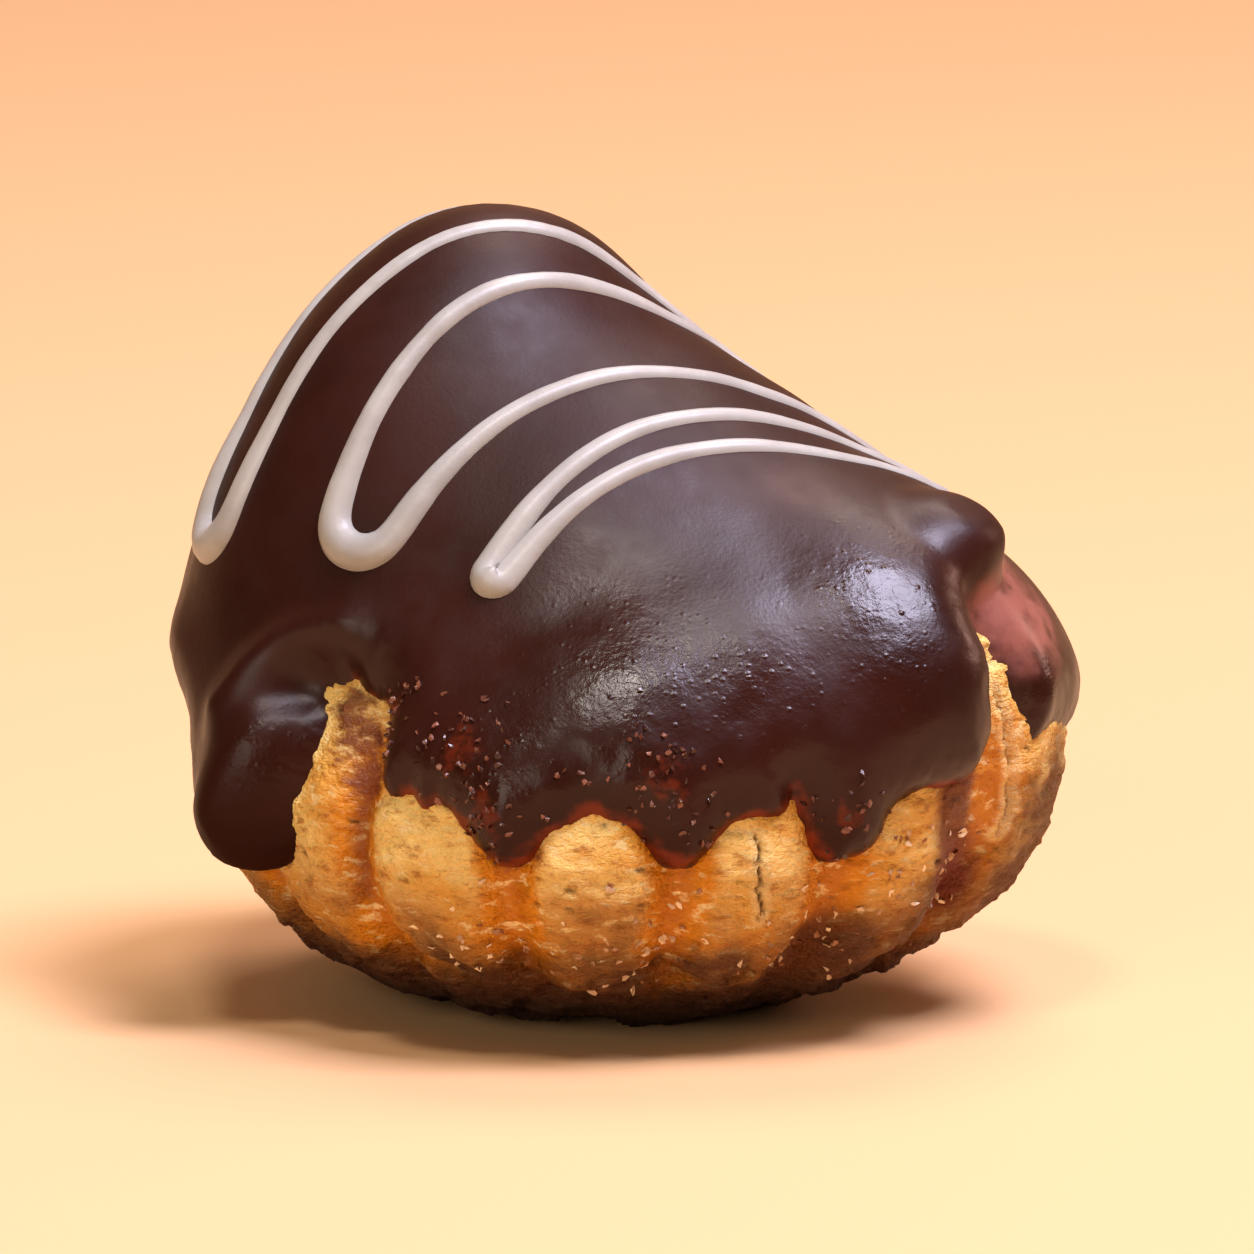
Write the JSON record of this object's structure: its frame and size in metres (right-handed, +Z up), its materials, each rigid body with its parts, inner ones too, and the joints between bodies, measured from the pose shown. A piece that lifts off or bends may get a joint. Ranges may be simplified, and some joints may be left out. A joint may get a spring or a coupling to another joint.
{
  "type": "profiterole",
  "caption": "Choux bun with ribbed sides, tall at one end, under a dripping dark chocolate coat with a white chocolate zigzag piped over the top.",
  "frame": {"origin": "middle of the underside, under the centre of the bounding box", "axes": "+Z up from the table, the tall end towards -X and +Y, the low nose towards +X and -Y, the side with the drips towards -Y"},
  "size_m": [0.0422, 0.0388, 0.0358],
  "materials": {
    "baked_choux": "baked choux crust, golden to brown, dull with a faint egg sheen",
    "dark_chocolate": "set dark chocolate, satin with a fine grain",
    "white_chocolate": "set white chocolate, satin"
  },
  "bodies": {
    "root": {"choux_bun": "baked_choux", "chocolate_icing": "dark_chocolate"}
  },
  "joints": []
}
